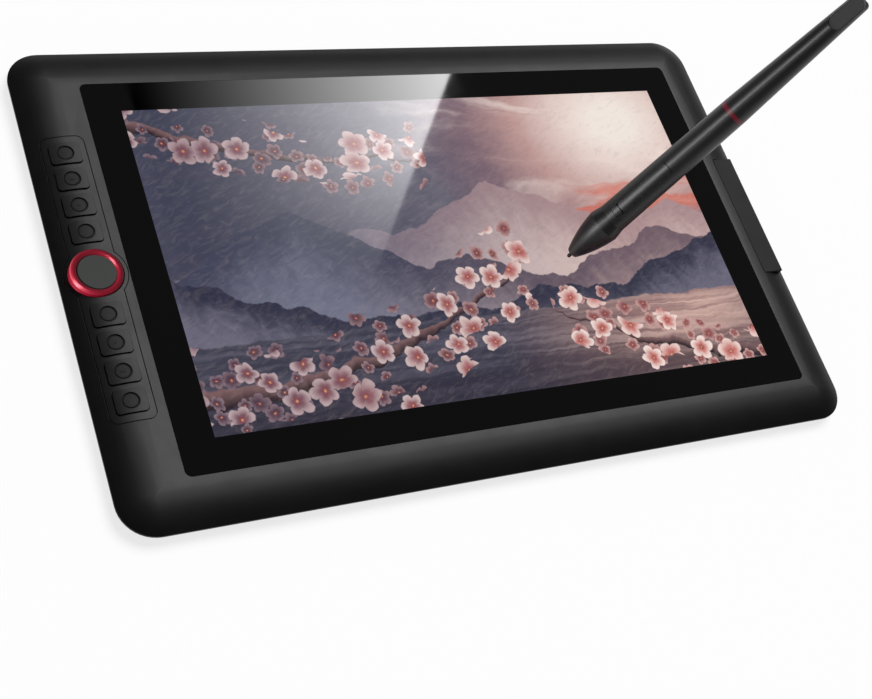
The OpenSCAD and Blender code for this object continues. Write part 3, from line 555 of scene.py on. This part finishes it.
def sky(f, x, y):
    away = ((x - GLOW_AT[0]) ** 2.0 + ((y - GLOW_AT[1]) * GLOW_SQUASH) ** 2.0) ** 0.5
    colours = f.ramp(away / GLOW_REACH, [(at, srgb(*colour)) for at, colour in SKY_STOPS])
    swept = f.vector(x - y * 0.5, y * 3.4 + x * 0.4)
    drift = f.noise(0.55, detail=8.0, vector=swept, distortion=1.6)
    pale = drift.step(0.5, 0.74) * away.step(1.1, 0.1)
    dark = drift.step(0.5, 0.28) * away.step(0.25, 0.8) * 0.6
    clouded = f.mix(dark, f.mix(pale * 0.8, colours, PALE_CLOUD), DARK_CLOUD)
    flat = f.noise(0.7, detail=6.0, vector=f.vector(x, y * 9.0, 3.0), distortion=0.8)
    band = y.step(0.46, 0.56) * y.step(0.74, 0.62) * x.step(1.0, 1.3)
    return f.mix(flat.step(0.54, 0.66) * band * 0.7, clouded, RED_CLOUD)


def lake(f, x, y):
    ripple = f.noise(0.5, detail=6.0, vector=f.vector(x, y * 22.0, 7.0), distortion=0.5)
    glow = abs(x - GLOW_AT[0]).step(0.75, 0.0)
    water = f.mix(glow, WATER, WATER_LIT)
    rippled = f.mix(ripple.step(0.38, 0.66), water, f.mix(glow, RIPPLE, RIPPLE_LIT))
    return f.mix(y.step(0.16, 0.02) * 0.7, rippled, LAKE_FOOT)


class Bough:
    """A branch from start to end, each (x, y), that sags by bend at its middle."""

    def __init__(self, f, x, y, start, end, bend, thick, spread):
        along = (x - start[0]) / (end[0] - start[0])
        sag = along * (1.0 - along) * (4 * bend)
        knots = (f.line_noise(x + end[1], 9.0, detail=3.0) - 0.5) * 0.05
        self.off = y - (along * (end[1] - start[1]) + start[1] + sag + knots)
        self.thick = (1.0 - along * 0.85) * thick
        self.reach = along.step(-0.05, 0.0) * along.step(1.02, 0.97)
        self.spread = spread

    def paint(self, f, below):
        bark = f.mix((self.off / self.thick).step(-1.0, 1.0), BARK_DARK, BARK_LIT)
        inside = abs(self.off).step(self.thick, self.thick * 0.75)
        return f.mix(inside * self.reach, below, bark)

    def nearness(self):
        return abs(self.off).step(self.spread, 0.0) * self.reach


def blossoms(f, below, x, y, size, seed, where, rim, inner):
    """Five-petalled flowers, one to a cell, more of them where the mask is high."""
    across = x / size + seed
    up = y / size
    made = f.node(
        "ShaderNodeTexVoronoi", {"Vector": f.vector(across, up), "Scale": 1.0, "Randomness": 0.85},
        voronoi_dimensions="2D",
    )
    centre_x, centre_y, _ = f.axes(made.outputs["Position"])
    chance, spin, tone = f.axes(made.outputs["Color"])
    dx = across - centre_x
    dy = up - centre_y
    reach = (dx ** 2.0 + dy ** 2.0) ** 0.5
    lobes = abs(((dy.math("ARCTAN2", dx) + spin * 6.0) * 2.5).math("COSINE"))
    petal = (0.30 + tone * 0.16) * (0.62 + lobes ** 0.6 * 0.38)
    out = reach / petal
    heart = f.ramp(out, [(0.0, STAMENS), (0.16, HEART)])
    colours = f.mix(out.step(0.1, 0.34), heart, f.mix(out.step(0.3, 0.95), inner, rim))
    lit = f.mix((1.0 - lobes) * 0.35 + tone.step(0.5, 1.0) * 0.25, colours, inner)
    there = (chance + where - 1.0).step(0.0, 0.02)
    return f.mix(reach.step(petal + 0.02, petal - 0.02) * there, below, lit)


def brush(f, view, x, y):
    """Strokes of a broad brush over the whole picture."""
    slanted = f.vector(x + y * 0.6, y * 3.2 - x * 1.6)
    strokes = f.noise(0.045, detail=5.0, vector=slanted, distortion=0.9)
    view = f.mix(strokes.step(0.44, 0.86) * 0.08, view, STROKE_PALE)
    return f.mix(strokes.step(0.54, 0.18) * 0.14, view, STROKE_DARK)


def waver(f, across, up, layer):
    return (f.noise(0.07, detail=4.0, vector=f.vector(across, up, layer)) - 0.5) * WAVER


def landscape(f, across, up):
    x = across + waver(f, across, up, 1.0)
    y = up + waver(f, across, up, 5.0)
    view = sky(f, x, y)
    for hills in RANGES:
        view = lay_range(f, view, x, y, hills)
    shore = y.step(LAKE_TOP + SHORE_BLUR, LAKE_TOP - SHORE_BLUR)
    view = f.mix(shore, view, lake(f, x, y))
    boughs = [Bough(f, x, y, *values) for values in BOUGHS]
    crowd = None
    for bough in boughs:
        view = bough.paint(f, view)
        near = bough.nearness()
        crowd = near if crowd is None else crowd.math("MAXIMUM", near)
    for size, seed, share, rim, inner in BLOSSOMS:
        view = blossoms(f, view, x, y, size, seed, crowd * share,
                        in_light(f, x, *BLOSSOM_LIGHT, *rim), in_light(f, x, *BLOSSOM_LIGHT, *inner))
    return brush(f, view, x, y)


def screen_glass(name):
    """Dark glass, lit from below where the picture is."""
    f = Finish(name)
    across, up, height = f.axes()
    inside = height.step(GLASS_TOP - PICTURE_EDGE, GLASS_TOP)
    sides = (across, PICTURE_LOW.x, PICTURE_HIGH.x), (up, PICTURE_LOW.y, PICTURE_HIGH.y)
    for place, low, high in sides:
        inside = inside * place.step(low, low + PICTURE_EDGE) * place.step(high, high - PICTURE_EDGE)
    view = landscape(f, (across - PICTURE_LOW.x) / PICTURE_D, (up - PICTURE_LOW.y) / PICTURE_D)
    smear = f.noise(30 * MM, detail=4.0)
    f.set(
        Base_Color=f.mix(smear, srgb(4, 4, 5), srgb(9, 9, 10)),
        Roughness=0.035 + smear.step(0.5, 0.8) * 0.03,
        Emission_Color=view,
        Emission_Strength=inside,
    )
    return f.material


# Finishes by the record's material slots

FINE_GRAIN = {"grain": 0.4 * MM, "depth": 0.001 * MM}
FINISHES = {
    "casing_black": moulded("casing", srgb(9, 9, 10), 0.385, 0.18),
    "back_black": moulded("back", srgb(16, 16, 17), 0.5, 0.2, grain=0.4 * MM, depth=0.02 * MM),
    "key_black": thumbed_key("key", srgb(14, 14, 15), 0.37, 0.14),
    "edge_button_black": moulded("edge_button", srgb(26, 26, 28), 0.38, 0.3),
    "hood_black": moulded("hood", srgb(18, 18, 18), 0.5, 0.09),
    "dial_red": anodised_ring("dial_ring", srgb(182, 18, 52)),
    "cap_grey": moulded("dial_cap", srgb(54, 56, 54), 0.6, 0.12, grain=0.18 * MM),
    "screen_glass": screen_glass("screen_glass"),
    "clear_adhesive": clear_sheet("clear_adhesive", srgb(232, 238, 240), 2.0 * MM),
    "lcd_dark": panel_cell("panel_cell"),
    "optical_white": optical_film("optical_film"),
    "clear_acrylic": clear_sheet("light_guide", srgb(218, 236, 242), 1.2 * MM),
    "white_plastic": moulded("white_plastic", srgb(222, 222, 216), 0.45, 0.4),
    "circuit_green": circuit_board("circuit_board"),
    "flex_amber": flex_film("flex_film", srgb(150, 92, 30), srgb(206, 142, 70)),
    "sheet_metal": metal("sheet_metal", srgb(196, 198, 200), 0.38, brush=(0.05, 1.0, 1.0)),
    "screw_steel": metal("screw_steel", srgb(96, 97, 100), 0.34),
    "brass": metal("brass", srgb(206, 168, 84), 0.3),
    "chip_black": chip_case("chip_case"),
    "magnet_grey": metal("magnet", srgb(120, 120, 122), 0.42),
    "foot_rubber": rubber("foot_rubber", srgb(24, 24, 25)),
    "stylus_black": moulded("stylus", srgb(9, 9, 10), 0.36, 0.52, **FINE_GRAIN),
    "stylus_button_black": moulded("stylus_button", srgb(10, 10, 11), 0.34, 0.52, **FINE_GRAIN),
    "stylus_red": moulded("stylus_ring", srgb(84, 10, 26), 0.34, 0.4),
    "stylus_grey": moulded("stylus_plate", srgb(38, 38, 39), 0.5, 0.22, grain=0.5 * MM),
    "nib_black": moulded("nib", srgb(14, 14, 14), 0.5, 0.3),
    "coil_copper": wound_copper("coil"),
}
for piece in NODES.values():
    for slot in piece.material_slots:
        slot.material = FINISHES[slot.material.name]


# Studio

def link(made):
    bpy.context.scene.collection.objects.link(made)
    return made


def flat_mesh(name, corners, material):
    mesh = bpy.data.meshes.new(name)
    mesh.from_pydata(corners, [], [list(range(len(corners)))])
    mesh.materials.append(material)
    return link(bpy.data.objects.new(name, mesh))


def aim(made, origin, towards):
    """Turns a lamp or a card so that it shines from origin along a direction."""
    made.location = origin
    made.rotation_euler = towards.to_track_quat("-Z", "Y").to_euler()


def light_only(made, pieces):
    """Lets a light reach only these pieces."""
    reach = bpy.data.collections.new(made.name + "_reach")
    for piece in pieces:
        reach.objects.link(piece)
    made.light_linking.receiver_collection = reach
    return reach


def add_camera():
    data = bpy.data.cameras.new("camera")
    data.lens = LENS
    data.sensor_width = SENSOR
    data.sensor_fit = "HORIZONTAL"
    made = link(bpy.data.objects.new("camera", data))
    turn = Matrix((RIGHT, RIGHT.cross(LOOK), -LOOK)).transposed()
    made.matrix_world = Matrix.Translation(EYE) @ turn.to_4x4()
    bpy.context.scene.camera = made


def add_floor():
    """White paper that glows by itself where it is seen, so that the shadow on it stays light.
    From below it is clear, so that the underside shows."""
    f = Finish("floor")
    paper = f.noise(4 * MM, detail=4.0)
    path = f.node("ShaderNodeLightPath").outputs
    rays = [Field(f, path[f"Is {kind} Ray"]) for kind in ("Camera", "Glossy", "Transmission")]
    share = (rays[0] + rays[1] + rays[2]).math("MINIMUM", 1.0) * FLOOR_GLOW
    f.set(
        Base_Color=f.mix(share, f.mix(paper, PAPER_DARK, PAPER_PALE), BLACK),
        Roughness=0.9,
        Specular_IOR_Level=0.1,
        Emission_Color=WHITE,
        Emission_Strength=share,
        Alpha=1.0 - Field(f, f.node("ShaderNodeNewGeometry").outputs["Backfacing"]),
    )
    s = FLOOR_HALF
    corners = [(-s, -s, 0.0), (s, -s, 0.0), (s, s, 0.0), (-s, s, 0.0)]
    flat_mesh("floor", corners, f.material)


def add_sun(reached):
    data = bpy.data.lights.new("softbox", "SUN")
    data.energy = SUN_STRENGTH
    data.angle = SUN_WIDTH
    made = link(bpy.data.objects.new("softbox", data))
    aim(made, SUN_FROM * 2.0, -SUN_FROM)
    light_only(made, reached)


def add_strip(reached):
    """A tall strip beside the tablet. It goes on below the desk, which doesn't shade it, so that the
    nose of the stylus catches it too."""
    data = bpy.data.lights.new("strip", "AREA")
    data.shape = "RECTANGLE"
    data.size, data.size_y = STRIP_SIZE
    data.energy = STRIP_POWER
    made = link(bpy.data.objects.new("strip", data))
    aim(made, STRIP_FROM * STRIP_DISTANCE, -STRIP_FROM)
    made.light_linking.blocker_collection = light_only(made, reached)


def add_gloss_card(glass):
    """A lit card whose reflection lies across the glass as a bright wedge with one sharp edge. Its
    own coordinates are those of its reflection on the glass."""
    f = Finish("gloss_card")
    x, y, _ = f.axes()
    slope = (CARD_TOP.x - CARD_FOOT.x) / (CARD_TOP.y - CARD_FOOT.y)
    edge = (y - CARD_TOP.y) * slope + CARD_TOP.x
    across = (x - CARD_LEFT) / (edge - CARD_LEFT)
    fade = y.step(CARD_FOOT.y, CARD_TOP.y)
    f.set(
        Base_Color=BLACK,
        Specular_IOR_Level=0.0,
        Emission_Color=WHITE,
        Emission_Strength=across.math("MAXIMUM", 0.0) ** CARD_FALL * fade * CARD_STRENGTH,
    )
    z = GLASS_TOP
    corners = [
        (CARD_LEFT, CARD_FOOT.y, z), (*CARD_FOOT, z), (*CARD_TOP, z), (CARD_LEFT, CARD_TOP.y, z),
    ]
    card = flat_mesh("gloss_card", corners, f.material)
    mirrored_eye = Vector((EYE.x, EYE.y, 2 * z - EYE.z))
    share = (CARD_HEIGHT - z) / (EYE.z - z)
    card.matrix_world = Matrix.Translation(-share * mirrored_eye) @ Matrix.Scale(1 + share, 4)
    card.visible_camera = False
    card.visible_diffuse = False
    card.visible_shadow = False
    light_only(card, [glass])


def add_world():
    """A dim sky that pales towards the horizon."""
    world = bpy.data.worlds.new("studio")
    world.use_nodes = True
    nodes, links = world.node_tree.nodes, world.node_tree.links
    split = nodes.new("ShaderNodeSeparateXYZ")
    links.new(nodes.new("ShaderNodeTexCoord").outputs["Generated"], split.inputs[0])
    ramp = nodes.new("ShaderNodeValToRGB")
    links.new(split.outputs["Z"], ramp.inputs["Fac"])
    low, high = ramp.color_ramp.elements
    low.position, low.color = SKY_LOW_AT, (SKY_LOW, SKY_LOW, SKY_LOW, 1.0)
    high.position, high.color = SKY_HIGH_AT, (SKY_HIGH, SKY_HIGH, SKY_HIGH, 1.0)
    links.new(ramp.outputs["Color"], nodes["Background"].inputs["Color"])
    bpy.context.scene.world = world


add_camera()
add_floor()
glass = NODES["cover_glass"]
glossy = [piece for name, piece in NODES.items() if name.startswith("stylus")]
glossy.append(NODES["dial_ring"])
meshes = [piece for piece in bpy.data.objects if piece.type == "MESH"]
add_sun([piece for piece in meshes if piece not in [glass, *glossy]])
add_strip(glossy)
add_gloss_card(glass)
add_world()
bpy.context.scene.view_settings.view_transform = "Standard"
